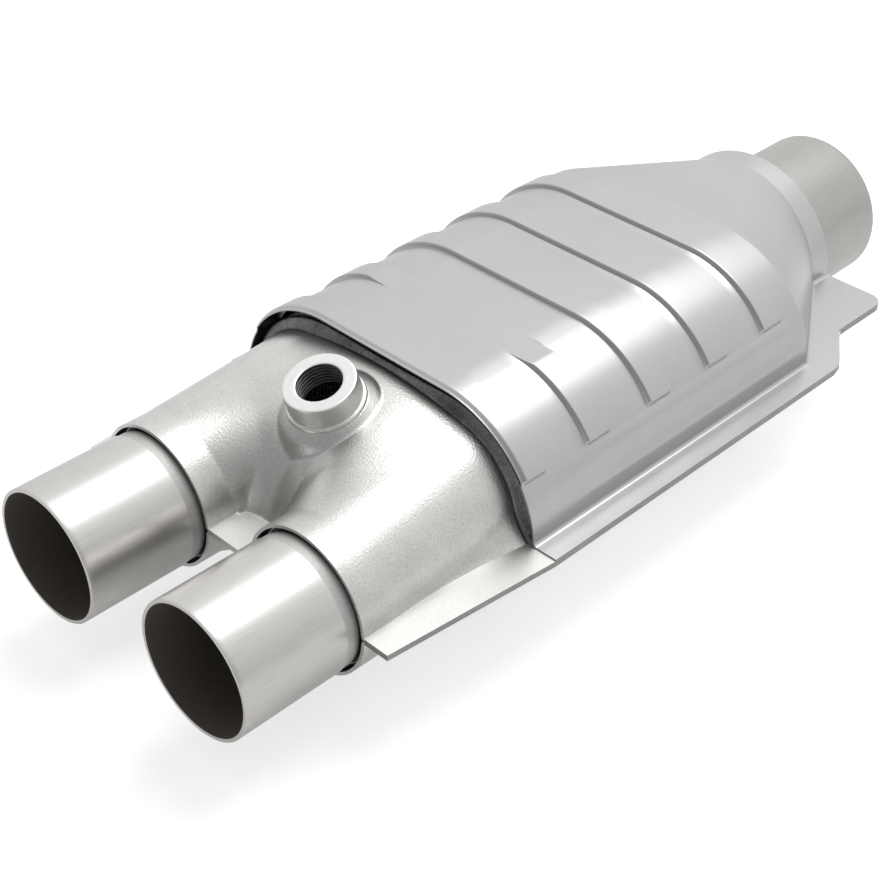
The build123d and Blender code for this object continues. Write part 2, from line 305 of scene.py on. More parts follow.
finishKeys = ("metallic", "roughness", "roughSpread", "dark", "light",
              "grainScale", "cloudScale", "grainShare", "bumpDistance", "bumpStrength")
finishTable = {
    "shell": (1.0, 0.34, 0.05, (0.52, 0.51, 0.495), (0.7, 0.69, 0.675), 1300.0, 60.0, 0.6, 0.00012, 0.8),
    "shield": (1.0, 0.33, 0.02, (0.455, 0.46, 0.457), (0.505, 0.51, 0.505), 900.0, 20.0, 0.3, 0.00003, 0.15),
    "pipe": (1.0, 0.33, 0.03, (0.545, 0.535, 0.52), (0.61, 0.6, 0.585), 1800.0, 40.0, 0.8, 0.00003, 0.2),
    # Painted shade: the outlet pipe's steel, a darker copy of the pipe steel
    "outletShade": (1.0, 0.34, 0.03, (0.39, 0.38, 0.365), (0.44, 0.43, 0.415), 1800.0, 40.0, 0.8, 0.00003, 0.2),
    "band": (1.0, 0.6, 0.04, (0.5, 0.495, 0.485), (0.58, 0.575, 0.56), 1200.0, 60.0, 0.6, 0.00004, 0.2),
    "boss": (1.0, 0.36, 0.03, (0.76, 0.755, 0.745), (0.84, 0.835, 0.82), 900.0, 90.0, 0.5, 0.00003, 0.15),
    # Flange and flat web: a rougher finish, and lighter than the shell steel as painted light
    "flange": (1.0, 0.5, 0.04, (0.64, 0.635, 0.62), (0.74, 0.735, 0.72), 1300.0, 60.0, 0.6, 0.00006, 0.2),
    # Painted shade for the cut flange edges: a dark copy of the steel
    "edge": (1.0, 0.45, 0.04, (0.27, 0.27, 0.265), (0.34, 0.34, 0.335), 1500.0, 90.0, 0.6, 0.00003, 0.2),
    # Painted shade for the chamber step under the shield's lip: near black, lighter in random patches
    "stepShade": (1.0, 0.42, 0.06, (0.04, 0.04, 0.039), (0.31, 0.305, 0.3), 1500.0, 60.0, 0.45, 0.00012, 0.4),
    # Painted shade for the boss's threaded bore: a near-black steel
    "thread": (1.0, 0.5, 0.05, (0.1, 0.098, 0.095), (0.17, 0.165, 0.16), 900.0, 200.0, 0.5, 0.00003, 0.15),
    "weld": (1.0, 0.28, 0.06, (0.62, 0.61, 0.59), (0.8, 0.79, 0.77), 500.0, 200.0, 0.5, 0.0001, 0.3),
    "soot": (0.0, 0.95, 0.03, (0.11, 0.096, 0.082), (0.14, 0.123, 0.105), 900.0, 50.0, 0.5, 0.00004, 0.1),
    # Painted shade for the half shells' inner faces: near black
    "innerShade": (0.0, 0.95, 0.03, (0.015, 0.014, 0.013), (0.025, 0.023, 0.021), 900.0, 50.0, 0.5, 0.00004, 0.1),
    "brick": (0.0, 0.85, 0.05, (0.26, 0.21, 0.17), (0.4, 0.34, 0.28), 700.0, 60.0, 0.5, 0.0001, 0.3),
    "mat": (0.0, 0.95, 0.03, (0.62, 0.59, 0.54), (0.8, 0.78, 0.74), 1200.0, 80.0, 0.6, 0.0004, 0.6),
    "knit": (1.0, 0.45, 0.1, (0.2, 0.2, 0.19), (0.6, 0.59, 0.57), 1600.0, 300.0, 0.7, 0.0004, 0.8),
}
finishes = {name: dict(zip(finishKeys, values)) for name, values in finishTable.items()}
# The grain of drawn tubes runs along them
for name in ("pipe", "outletShade"):
    finishes[name]["stretch"] = (1.0, 0.06, 1.0)

materialOf = {name: finishMaterial(name + "Finish", look) for name, look in finishes.items()}
print("materials made")


# Half shells

rim = {
    "frontHalf": 77.2,
    "sideHalf": 84.0,
    "tabHalf": 69.2,
    "notchStart": 282.3,
    "notchEnd": 303.3,
    "tabCorner": 6.0,
}


def rimEdge(y):
    # Half width of the rim flange: a slight taper, a straight run, the notch, then the tab
    edge = np.interp(
        y,
        [converter["mouth"], converter["lip"], rim["notchStart"], rim["notchEnd"]],
        [rim["frontHalf"], rim["sideHalf"], rim["sideHalf"], rim["tabHalf"]],
    )
    past = np.clip(y - (converter["rear"] - rim["tabCorner"]), 0, rim["tabCorner"])
    return edge - rim["tabCorner"] + np.sqrt(rim["tabCorner"] ** 2 - past ** 2)


shellLook = {
    "flangeColumns": 4,
    "bendColumns": 8,
    "wallColumns": 24,
    "roofColumns": 66,
    "webColumns": 12,
    "bendR": 0.85,
    "bendGrowth": 26.0,
    "bendLeave": math.radians(45.0),
    "bodyBendR": 3.0,
    # start, stop and count of the rows, in front of the lip and behind the chamber step
    "frontRows": [
        (converter["mouth"], converter["humpStart"] - 0.4, 8),
        (converter["humpStart"], 74.0, 34),
        (74.5, 113.0, 84),
        (113.5, converter["lip"] - 0.4, 12),
    ],
    "lastFrontRow": 0.2,
    "firstStepRow": 0.5,
    "stepRows": 9,
    "firstRearRow": 1,
    "rearRows": [(130, 266, 6), (269, 279, 9), (284, 318, 6), (320, 328, 9)],
    "collarRow": 329.0,
    "collarRows": 9,
    "coneRound": 3.0,
    "crownHalf": 65.3,
    "crownShoulderR": 30.8,
    "crownShoulderZ": 4.8,
    "crownHeight": 39.3,
    "innerEnd": 3.0,
    "innerPower": 0.9,
    "innerReach": 0.6,
    "webFrom": 0.12,
    "webTo": 0.40,
    "creaseRound": 0.8,
    "crotchStart": 64.3,
    "crotchBow": 4.3,
    "crotchHalf": 13.5,
    "crotchPower": 2.3,
    "crotchDrop": 6,
    "bowEnd": 76.0,
    "valleyRise": 32.0,
    "valleyLength": 10.0,
    "valleySlope": 0.115,
    "valleyCrown": 0.0028,
    "valleySide": 34.0,
    "valleyFall": 0.02,
    "valleyBlend": 3.8,
    "blendLoss": 0.9,
    "foldDepth": 2.6,
    "foldHalf": 4.5,
    "foldRows": (63.0, 68.0, 78.0, 88.0),
    "webBlend": 1.2,
    "seatR": 14.4,
    "skirtSlope": 0.95,
    "skirtSteep": 1.75,
    "skirtTurn": (3.0, 4.0),
    "skirtFoot": 0.7,
    "searchHeight": 60.0,
    "halvings": 40,
    "portR": 10.5,
    "flatHeight": 0.15,
    # where the chamber step's painted shade starts ahead of the lip, ends past the chamber, and how high it
    # starts
    "stepShadeAhead": 0.5,
    "stepShadePast": 2,
    "stepShadeFoot": 0.05,
}

bossPlace = {"y": 90.0, "z": 46.5, "tilt": math.radians(18.4), "height": 9.6}
bossAxis = np.array([0.0, -math.sin(bossPlace["tilt"]), math.cos(bossPlace["tilt"])])
bossFace = np.array([0.0, bossPlace["y"], bossPlace["z"]])


def wallAndBend(centreX, centreZ, radius, bend, leave, flangeZ, topAngle, bendCount, wallCount):
    # Flare between the flange plane and a round wall, then the wall up to topAngle. The flare
    # is an arc tangent to the wall; leave is the angle at which it rises from the flange.
    bendZ = flangeZ + bend * math.cos(leave)
    lift = np.maximum(bendZ - centreZ, 0)
    bendX = centreX + np.sqrt((radius + bend) ** 2 - lift ** 2)
    meet = np.arctan2(lift, bendX - centreX)
    turn = np.linspace(0, 1, bendCount)
    angle = -np.pi / 2 - leave - turn * (np.pi / 2 - leave - meet)
    bendPart = np.stack([bendX + bend * np.cos(angle), bendZ + bend * np.sin(angle)], axis=-1)
    theta = np.linspace(meet, topAngle, wallCount + 1)[1:]
    wallX = centreX + radius * np.cos(theta)
    wall = np.stack([wallX, centreZ + radius * np.sin(theta)], axis=-1)
    return np.concatenate([bendPart, wall])


def socketSection(radius, bend, leave, look, flangeZ):
    # Round socket, its inner quarter down to the seam, and the web between the inlets
    outer = wallAndBend(converter["inletX"], 0, radius, bend, leave, flangeZ, np.pi / 2,
                        look["bendColumns"], look["wallColumns"])
    theta = np.linspace(np.pi / 2, np.pi, look["roofColumns"] + 1)[1:]
    innerX = converter["inletX"] + radius * np.cos(theta)
    inner = np.stack([innerX, radius * np.sin(theta)], axis=-1)
    webX = np.linspace(converter["inletX"] - radius, 0, look["webColumns"] + 1)[1:]
    web = np.stack([webX, np.zeros_like(webX)], axis=-1)
    return np.concatenate([outer, inner, web])


def crownSection(bend, leave, look, flangeZ):
    # Shoulder arc, then a flat crown arc tangent to it, and the drop on the inner side
    shoulder = look["crownShoulderR"]
    centreX = look["crownHalf"] - shoulder
    centreZ = look["crownShoulderZ"]
    rise = look["crownHeight"] - centreZ
    crown = (centreX ** 2 + rise ** 2 - shoulder ** 2) / (2 * (rise - shoulder))
    lean = math.atan2(centreX, centreZ - look["crownHeight"] + crown)
    outer = wallAndBend(centreX, centreZ, shoulder, bend, leave, flangeZ, np.pi / 2 - lean,
                        look["bendColumns"], look["wallColumns"])
    roofX = np.linspace(outer[-1, 0], look["innerEnd"], look["roofColumns"] + 1)[1:]
    webX = np.linspace(look["innerEnd"], 0, look["webColumns"] + 1)[1:]
    xs = np.concatenate([roofX, webX])
    zs = look["crownHeight"] - crown + np.sqrt(crown ** 2 - xs ** 2)
    return np.concatenate([outer, np.stack([xs, zs], axis=-1)])


def roundedSection(half, radius, bend, columns, flangeZ):
    # Half of a stadium section: bend, quarter round, then the flat top to the middle
    topAngle = np.pi / 2
    outer = wallAndBend(half, 0, radius, bend, 0, flangeZ, topAngle, columns["bend"], columns["wall"])
    roofX = np.linspace(half, 0, columns["roof"] + 1)[1:]
    roof = np.stack([roofX, np.full_like(roofX, radius)], axis=-1)
    return np.concatenate([outer, roof])


def roundEndSection(radius, bend, columns, flangeZ, share=0.06):
    # The same columns laid round a half circle; the flat's columns take a small share of it
    topAngle = np.pi / 2 - share
    outer = wallAndBend(0, 0, radius, bend, 0, flangeZ, topAngle, columns["bend"], columns["wall"])
    theta = np.linspace(topAngle, np.pi / 2, columns["roof"] + 1)[1:]
    roof = np.stack([radius * np.cos(theta), radius * np.sin(theta)], axis=-1)
    return np.concatenate([outer, roof])


def valleyHeight(x, y, look):
    # Filling between the inlets: it rises steeply from a bowed line, climbs on at an even slope
    # towards the lip, and is gently crowned across, with a fall outside the humps' tops
    bow = look["crotchBow"] * np.minimum(np.abs(x) / look["crotchHalf"], 1) ** look["crotchPower"]
    past = y - look["crotchStart"] + bow * (1 - ease(y, look["crotchStart"], look["bowEnd"]))
    climb = look["valleyRise"] * (1 - np.exp(-np.maximum(past, 0) / look["valleyLength"]))
    rise = np.where(past > 0, climb + look["valleySlope"] * past, look["crotchDrop"] * past)
    height = converter["sheet"] + rise
    outside = np.clip(np.abs(x) - look["valleySide"], 0, None)
    # A narrow fold runs down the middle, from under the boss to the crotch
    first, full, last, gone = look["foldRows"]
    fold = look["foldDepth"] * ease(y, first, full) * (1 - ease(y, last, gone))
    height = height - fold * np.exp((1 - np.sqrt(x ** 2 + 1)) / look["foldHalf"])
    return height - look["valleyCrown"] * x ** 2 - look["valleyFall"] * outside ** 2


def pedestalHeight(x, y, look):
    # Height of the boss seat, whose axis leans: flat under the boss, then a conical skirt that
    # turns steeper lower down. It is found by halving the interval of height.
    top = bossFace - bossAxis * bossPlace["height"]
    start, stop = look["skirtTurn"]
    more = look["skirtSteep"] - look["skirtSlope"]
    low = np.full_like(x, -look["searchHeight"])
    high = np.full_like(x, look["searchHeight"])
    for _ in range(look["halvings"]):
        middle = (low + high) / 2
        depth = -((y - top[1]) * bossAxis[1] + (middle - top[2]) * bossAxis[2])
        acrossY = (y - top[1]) + depth * bossAxis[1]
        acrossZ = (middle - top[2]) + depth * bossAxis[2]
        out = np.clip(np.sqrt(x ** 2 + acrossY ** 2 + acrossZ ** 2) - look["seatR"], 0, None)
        turned = more * (np.clip(out, start, stop) - start) ** 2 / (2 * (stop - start))
        inside = depth > look["skirtSlope"] * out + turned + more * np.clip(out - stop, 0, None)
        low = np.where(inside, middle, low)
        high = np.where(inside, high, middle)
    return (low + high) / 2


def withFlange(section, edge, y, flangeZ, count):
    # Adds the flat flange outside a section: edge is its half width at each row
    rows = len(y)
    t = np.linspace(0, 1, count + 1)[:-1]
    x = edge[:, None] + (section[:, :1, 0] - edge[:, None]) * t
    z = np.full((rows, count), flangeZ)
    flange = np.stack([x, z], axis=-1)
    both = np.concatenate([flange, section], axis=1)
    spread = np.repeat(y[:, None], both.shape[1], axis=1)
    return np.stack([both[..., 0], spread, both[..., 1]], axis=-1)


def bothSides(half):
    # The right half, outer edge first, becomes a grid that runs from left to right
    left = half[:, :-1] * np.array([-1.0, 1.0, 1.0])
    return np.concatenate([left, half[:, ::-1]], axis=1)


def shellGrid(look, withPedestal):
    c = converter
    flangeZ = c["sheet"]
    frontY = joinRows(spanRows(look["frontRows"]), c["lip"] + look["lastFrontRow"])
    t = softRamp(frontY - c["humpStart"], look["creaseRound"]) / (c["lip"] - c["humpStart"])
    t = np.clip(t, 0, 1)[:, None]
    bend = look["bendR"] + look["bendGrowth"] * t[:, 0] ** 3
    leave = look["bendLeave"]
    near = np.stack([socketSection(c["socketR"], b, leave, look, flangeZ) for b in bend])
    far = np.stack([crownSection(b, leave, look, flangeZ) for b in bend])

    # The humps' inner sides rise early, with a crease where the sockets end. The web between
    # them stays level at first, then catches up with the same rise, hidden by the valley.
    outerCount = look["bendColumns"] + look["wallColumns"]
    column = np.arange(near.shape[1]) - outerCount
    inner = ease(column / look["roofColumns"], 0.0, look["innerReach"])[None]
    early = 1 - (1 - t) ** (1 + look["innerPower"] * inner)
    late = early * ease(t, look["webFrom"], look["webTo"])
    share = np.where(column[None] < look["roofColumns"], early, late)
    front = near.copy()
    front[..., 0] += (far - near)[..., 0] * t
    front[..., 1] += (far - near)[..., 1] * share
    x = front[:, outerCount:, 0]
    z = front[:, outerCount:, 1]
    y = np.repeat(frontY[:, None], x.shape[1], axis=1)
    soft = look["valleyBlend"] * (1 - look["blendLoss"] * ease(y, bossPlace["y"], c["lip"]))
    z = smoothMax(z, valleyHeight(x, y, look), soft)
    z = smoothMax(z, np.full_like(z, flangeZ), look["webBlend"])
    if withPedestal:
        z = smoothMax(z, pedestalHeight(x, y, look), look["skirtFoot"])
    front[:, outerCount:, 1] = z

    columns = {"bend": look["bendColumns"], "wall": look["wallColumns"],
               "roof": look["roofColumns"] + look["webColumns"]}
    body = roundedSection(c["arcCentre"], c["bodyR"], look["bodyBendR"], columns, flangeZ)
    end = roundEndSection(c["neckR"], look["bodyBendR"], columns, flangeZ)
    stepY = np.linspace(c["lip"] + look["firstStepRow"], c["chamber"], look["stepRows"])
    stepT = ease(stepY, c["lip"] + look["lastFrontRow"], c["chamber"])
    step = front[-1] + (body - front[-1]) * stepT[:, None, None]
    rearY = joinRows(c["chamber"] + look["firstRearRow"], spanRows(look["rearRows"]),
                     crowdedRows(look["collarRow"], c["rear"], look["collarRows"]))
    rearT = softRamp(rearY - c["crease"], look["coneRound"])
    rearT = rearT - softRamp(rearY - c["neck"], look["coneRound"])
    rearT = np.clip(rearT / (c["neck"] - c["crease"]), 0, 1)
    rear = body + (end - body) * rearT[:, None, None]

    section = np.concatenate([front, step, rear])
    y = joinRows(frontY, stepY, rearY)
    half = withFlange(section, rimEdge(y), y, flangeZ, look["flangeColumns"])
    return bothSides(half)


def makeShells(look):
    # The outer faces take the first finish, the flange its own, and the chamber step painted shade
    # The inner faces take painted shade, near black
    looks = ["shell", "innerShade", "edge", "flange", "stepShade"]
    flange = looks.index("flange")
    stepShade = looks.index("stepShade")
    upper = shellGrid(look, True)
    centre = (upper[:-1, :-1] + upper[1:, 1:]) / 2
    fromBoss = centre - bossFace
    depth = fromBoss @ bossAxis
    across = np.linalg.norm(fromBoss - depth[..., None] * bossAxis, axis=-1)
    keep = across > look["portR"]
    kinds = np.zeros(keep.shape, int)
    # The flange and the flat web take the flange finish: rougher, and lighter as painted light
    kinds[:, :look["flangeColumns"]] = flange
    kinds[:, -look["flangeColumns"]:] = flange
    kinds[centre[..., 2] < converter["sheet"] + look["flatHeight"]] = flange
    # Painted shade: the chamber step under the shield's lip takes a near-black steel
    step = centre[..., 1] > converter["lip"] - look["stepShadeAhead"]
    step &= centre[..., 1] < converter["chamber"] + look["stepShadePast"]
    kinds[step & (centre[..., 2] > converter["sheet"] + look["stepShadeFoot"])] = stepShade
    top = sheetPiece("upperShell", upper, converter["sheet"], looks, kinds, keep)
    kinds[kinds == stepShade] = 0
    lower = shellGrid(look, False)
    bottom = sheetPiece("lowerShell", lower, converter["sheet"], looks, kinds, flip=True)
    return top, bottom


upperShell, lowerShell = makeShells(shellLook)
print("half shells made")


# Heat shield

shieldLook = {
    "sheet": 0.6,
    "radius": 44.0,
    "ribHeight": 1.78,
    "ribWidth": 11.5,
    "ribPitch": 33.0,
    "ribCount": 5,
    "ribStep": 1.5,
    "ribRear": 0.6,
    "lipRise": 0.8,
    "lipRamp": 2.2,
    "ledgeLow": math.radians(31.2),
    "ledgeHigh": math.radians(33.8),
    "padZ": 44.3,
    "padHalf": 28.8,
    "padFront": 130.0,
    "padRear": 183.3,
    "padStep": 0.3,
    "padSide": (-5.5, 1.5),
    "padRound": 0.12,
    "collarR": 41.2,
    "creaseRound": 0.6,
    "neckRound": 0.4,
    "roofShare": 0.05,
    "wallWave": 0.4,
    "waveSpan": math.radians(17.6),
    "waveAngles": (math.radians(8), math.radians(13)),
    "waveRise": (5, 60),
    "waveFall": (12, 2),
    "bend": 1.6,
    "flangeColumns": 5,
    "bendColumns": 8,
    "ribHold": 1.0,
    "collarRows": 10,
    "nearestRows": 0.05,
    # reach and count of the rows behind the lip, or to both sides of the line they follow
    "lipRows": (2.6, 9),
    "ribFrontRows": (0.9, 11),
    "ribTopRows": (2, 3),
    "padRows": (0.35, 6),
    "creaseRows": (1.2, 11),
    "neckRows": (0.8, 9),
    # distance of the first row behind a line, of the last from the next one, and the count
    "gapRows": (4, 4.5, 4),
    "coneRows": (6, 4, 8),
}
# start, stop and count of the columns: by angle up the wall, then by distance over the top
shieldLook["wallColumns"] = [
    (math.radians(6), shieldLook["ledgeLow"] - 0.02, 24),
    (shieldLook["ledgeLow"] - 0.01, shieldLook["ledgeHigh"] + 0.01, 11),
    (shieldLook["ledgeHigh"] + 0.04, np.pi / 2, 34),
]
shieldLook["roofColumns"] = [(29.7, 27.5, 7), (26.5, 0, 17)]


def ribProfile(y, look):
    # 1 on a rib, 0 between ribs; the first rib starts at the lip, part way up
    start = converter["lip"]
    half = look["ribStep"] / 2
    rear = look["ribRear"] / 2
    low = look["lipRise"] / look["ribHeight"]
    level = 0
    for k in range(look["ribCount"]):
        a = start + k * look["ribPitch"]
        b = a + look["ribWidth"]
        # A step is steep at its foot and rounds over towards its top
        rise = 1 - (1 - np.clip((y - a + half) / (2 * half), 0, 1)) ** 2
        front = rise if k else low + (1 - low) * ease(y, a, a + look["lipRamp"])
        level = level + front * (1 - np.clip((y - b + rear) / (2 * rear), 0, 1))
    return level


def shieldRows(look):
    # Rows lie close together at every step and bend, and far apart between them
    c = converter
    rear = look["ribRear"] / 2
    hold = look["ribHold"]
    reach, count = look["lipRows"]
    rows = [np.linspace(c["lip"], c["lip"] + reach, count)]
    for k in range(look["ribCount"]):
        a = c["lip"] + k * look["ribPitch"]
        b = a + look["ribWidth"]
        if k:
            rows.append(rowsAbout(a, *look["ribFrontRows"]))
        rows.append(rowsAbout((a + b) / 2, *look["ribTopRows"]))
        rows.append([b - hold, b - rear, b + rear, b + hold])
        first, last, count = look["gapRows"]
        rows.append(np.linspace(b + first, a + look["ribPitch"] - last, count))
    rows.append(rowsAbout(look["padRear"], *look["padRows"]))
    rows.append(rowsAbout(c["crease"], *look["creaseRows"]))
    first, last, count = look["coneRows"]
    rows.append(np.linspace(c["crease"] + first, c["neck"] - last, count))
    rows.append(rowsAbout(c["neck"], *look["neckRows"]))
    rows.append(crowdedRows(c["rear"] - rim["tabCorner"], c["rear"], look["collarRows"]))
    y = np.unique(np.round(np.concatenate(rows), 3))
    return y[np.concatenate([[True], np.diff(y) > look["nearestRows"]])]


def shieldGrid(look):
    c = converter
    flangeZ = c["sheet"] + look["sheet"]
    y = shieldRows(look)
    angle = spanRows(look["wallColumns"])
    roofX = spanRows(look["roofColumns"])
    along = softRamp(y - c["crease"], look["creaseRound"]) - softRamp(y - c["neck"], look["neckRound"])
    t = np.clip(along / (c["neck"] - c["crease"]), 0, 1)[:, None]
    centreX = c["arcCentre"] * (1 - t)
    base = look["radius"] + (look["collarR"] - look["radius"]) * t
    level = ribProfile(y, look)[:, None] * look["ribHeight"]
    mask = ease(angle, look["ledgeLow"], look["ledgeHigh"])[None]
    radius = base + level * mask

    # The wall under the ribs is not quite even: one shallow wave runs along it
    below = np.clip(look["ledgeLow"] - angle, 0, None)[None]
    wave = np.sin(2 * np.pi * below / look["waveSpan"]) * ease(angle, *look["waveAngles"])[None]
    rise = ease(y - c["lip"], *look["waveRise"])
    fall = 1 - ease(y - c["crease"], -look["waveFall"][0], -look["waveFall"][1])
    radius = radius + look["wallWave"] * wave * (rise * fall)[:, None]

    share = look["roofShare"]
    squeeze = 1 - t * share / (np.pi / 2)
    theta = angle[None] * squeeze
    wallX = centreX + radius * np.cos(theta)
    wallZ = radius * np.sin(theta)
    flatZ = base + level + np.zeros_like(roofX)[None]
    roundTheta = np.pi / 2 - share * roofX[None] / c["arcCentre"]
    topX = roofX[None] * (1 - t) + base * np.cos(roundTheta) * t
    topZ = flatZ * (1 - t) + (base + level) * np.sin(roundTheta) * t
    x = np.concatenate([wallX, topX], axis=1)
    z = np.concatenate([wallZ, topZ], axis=1)

    # The pad is a plane: it lifts the low band a little and cuts the rib that crosses it
    yy = np.repeat(y[:, None], x.shape[1], axis=1)
    step = look["padStep"]
    alongPad = ease(yy, look["padFront"] - step, look["padFront"] + step)
    alongPad = alongPad * (1 - ease(yy, look["padRear"] - step, look["padRear"] + step))
    over = ease(look["padHalf"] - np.abs(x), *look["padSide"]) * alongPad
    cut = smoothMin(z, np.full_like(z, look["padZ"]), look["padRound"])
    z = z + (cut - z) * alongPad
    z = z + (np.maximum(z, look["padZ"]) - z) * over

    # Foot bend between the wall's first column and the flange
    bend = look["bend"]
    bendZ = flangeZ + bend
    bendX = centreX[:, 0] + np.sqrt((base[:, 0] + bend) ** 2 - bendZ ** 2)
    meet = np.arctan2(bendZ, bendX - centreX[:, 0])
    turn = np.linspace(0, 1, look["bendColumns"])[None]
    arc = -np.pi / 2 - turn * (np.pi / 2 - meet[:, None])
    foot = np.stack([bendX[:, None] + bend * np.cos(arc), bendZ + bend * np.sin(arc)], axis=-1)
    section = np.concatenate([foot, np.stack([x, z], axis=-1)], axis=1)
    half = withFlange(section, rimEdge(y), y, flangeZ, look["flangeColumns"])
    return bothSides(half)


# The shield's cut flange edges take the edge finish: painted shade
heatShield = sheetPiece("heatShield", shieldGrid(shieldLook), shieldLook["sheet"],
                        ["shield", "shield", "edge"])
print("heat shield made")


# Pipes

pipeLook = {"turns": 192, "wall": 1.4, "inletR": 25.4, "outletR": 31.75, "edge": 0.25,
            "edgeShare": 0.3, "band": 4.7, "bandCut": 0.4, "bandSlope": 0.1, "bandHold": 0.05,
            "bandMiddle": 2.3, "bandPast": 0.5, "outletGrip": 15}


def makePipe(name, x, outerR, free, inner, socket, look, finish="pipe"):
    # Tube profile: along the outside from the free end, over the sized band where it enters
    # the socket, round the inner end, and back along the bore
    forward = 1 if inner > free else -1
    length = abs(inner - free)
    bandAt = abs(socket - free) - look["band"]
    bandRear = abs(socket - free) + look["bandPast"]
    e = look["edge"]
    small = e * look["edgeShare"]
    outside = joinRows(e, np.linspace(2, bandAt - 1, 10), bandAt - look["bandHold"],
                       bandAt + look["bandSlope"], bandAt + look["bandMiddle"], bandRear,
                       np.linspace(bandRear + 2, length - e, 4))
    cut = np.where(outside > bandAt, look["bandCut"], 0.0)
    bore = outerR - look["wall"]
    radius = joinRows(outerR - e, outerR - small, outerR - cut, outerR - look["bandCut"] - e,
                      bore - look["bandCut"] + e, (bore - cut)[::-1], bore + small, bore + e)
    along = joinRows(0, small, outside, length, length, outside[::-1], small, 0)
    rows = len(radius)
    count = len(outside)
    # Faces are numbered by the profile point that they start at. Two points round off the free
    # end before the outside begins, and two more the inner end before the bore.
    looks = [finish, "soot", "band"]
    boreStart = count + 4
    kind = np.zeros(rows, int)
    kind[boreStart:boreStart + count] = looks.index("soot")
    bandStart = 1 + int(np.argmax(outside > bandAt))
    kind[bandStart:bandStart + 3] = looks.index("band")
    if forward > 0:
        radius, along, kind = radius[::-1], along[::-1], np.roll(kind[::-1], -1)
    grid = aroundAxis(radius, free + forward * along, (x, 0, 0), (0, 1, 0), look["turns"])
    quads = gridFaces(rows, look["turns"], wrapRows=True, wrapCols=True)
    return makeObject(name, toRow(grid.reshape(-1, 3)), quads, [materialOf[n] for n in looks],
                      np.repeat(kind, look["turns"]))


pipes = {}
for side, name in ((-1, "inletPipeLeft"), (1, "inletPipeRight")):
    pipes[name] = makePipe(name, side * converter["inletX"], pipeLook["inletR"], 0,
                           converter["pipeEnd"], converter["mouth"], pipeLook)
# The outlet pipe takes a darker copy of the pipe steel: painted shade
pipes["outletPipe"] = makePipe("outletPipe", 0, pipeLook["outletR"], converter["end"],
                               converter["rear"] - pipeLook["outletGrip"], converter["rear"],
                               pipeLook, "outletShade")
print("pipes made")


# Sensor boss, with its thread, and the bead round its foot

bossLook = {"turns": 160, "topR": 13.2, "baseR": 13.5, "chamfer": 0.5, "coreR": 8.19, "pitch": 1.5,
            "threadDepth": 0.6, "threadChamfer": 0.4, "rowsPerPitch": 14, "edgeShare": 0.3,
            "hold": 0.3, "taper": 0.02, "taperHeight": 0.4, "faceRim": 1.2, "faceHold": 0.25,
            "faceRows": 5, "bevelTop": 0.05, "grooveWidth": 1.25, "grooveSlope": 4,
            "threadEnd": 0.1, "fadeLow": 0.9, "fadeHigh": (-1.0, -0.3)}


def makeBoss(look):
    # Turned profile; the bore's radius swings with height and angle, so it winds as a thread
    h = bossPlace["height"]
    c = look["chamfer"]
    top = look["topR"]
    hold = look["hold"]
    bevel = look["threadChamfer"]
    small = c * look["edgeShare"]
    outerR = [look["baseR"], look["baseR"], top + look["taper"], top, top - small, top - c,
              top - c - hold]
    outerZ = [-h, -h + hold, -c - look["taperHeight"], -c, -small, 0, 0]
    faceR = np.linspace(top - look["faceRim"], look["coreR"] + bevel + look["faceHold"],
                        look["faceRows"])
    faceZ = np.zeros(look["faceRows"])
    bevelR = [look["coreR"] + bevel, look["coreR"] + bevel * 0.5]
    bevelZ = [-look["bevelTop"], -bevel * 0.5]
    rows = int((h - bevel) / look["pitch"] * look["rowsPerPitch"])
    boreZ = np.linspace(-bevel * 0.8, -h + look["threadEnd"], rows)
    turns = look["turns"]
    angle = np.linspace(0, 1, turns, endpoint=False)
    phase = (boreZ[:, None] / look["pitch"] + angle[None]) % 1.0
    # The groove is cut with sloping flanks, and fades out towards both ends of the bore
    groove = np.clip(look["grooveWidth"] - np.abs(phase - 0.5) * look["grooveSlope"], 0, 1)
    lowEnd = ease(boreZ, -h + look["threadEnd"], -h + look["fadeLow"])
    reach = (lowEnd * (1 - ease(boreZ, *look["fadeHigh"])))[:, None]
    boreR = look["coreR"] + look["threadDepth"] * groove * reach
    plain = np.concatenate([outerR, faceR, bevelR])
    radius = np.concatenate([np.repeat(plain[:, None], turns, axis=1), boreR,
                             np.full((1, turns), look["coreR"])])
    along = np.concatenate([outerZ, faceZ, bevelZ, boreZ, [-h]])
    # The bore's rows take painted shade, a near-black steel
    boreRows = (1, len(boreZ) + 1)
    return turnedPiece("sensorBoss", radius[::-1], along[::-1], bossFace, bossAxis, turns,
                       [materialOf["boss"], materialOf["thread"]], boreRows)


bossWeldLook = {"turns": 240, "rows": 9, "reach": 1.1, "height": 1.3, "sunk": 0.03,
                "ripple": 0.02, "beads": 60, "drift": 17}


def makeBossWeld(look):
    # Bead section: a bulged arc from the boss's side to the seat, rippled round the joint
    turns = look["turns"]
    innerR = bossLook["baseR"] - look["sunk"]
    t = np.linspace(0, 1, look["rows"])
    angle = np.linspace(0, 2 * np.pi, turns, endpoint=False)
    ripple = 1 + look["ripple"] * np.sin(angle * look["beads"])
    ripple = ripple + look["ripple"] * np.sin(angle * look["drift"] + 1)
    bulge = look["reach"] * ripple
    arcR = innerR + np.sin(t * np.pi / 2)[:, None] * bulge[None]
    arcZ = -bossPlace["height"] + np.cos(t * np.pi / 2) * look["height"]
    radius = np.concatenate([arcR, np.full((1, turns), innerR)])
    along = np.concatenate([arcZ, [-bossPlace["height"]]])
    return turnedPiece("sensorBossWeld", radius[::-1], along[::-1], bossFace, bossAxis, turns,
                       [materialOf["weld"]])


sensorBoss = makeBoss(bossLook)
sensorBossWeld = makeBossWeld(bossWeldLook)
print("sensor boss made")


# Welds in the gaps between pipes and sockets

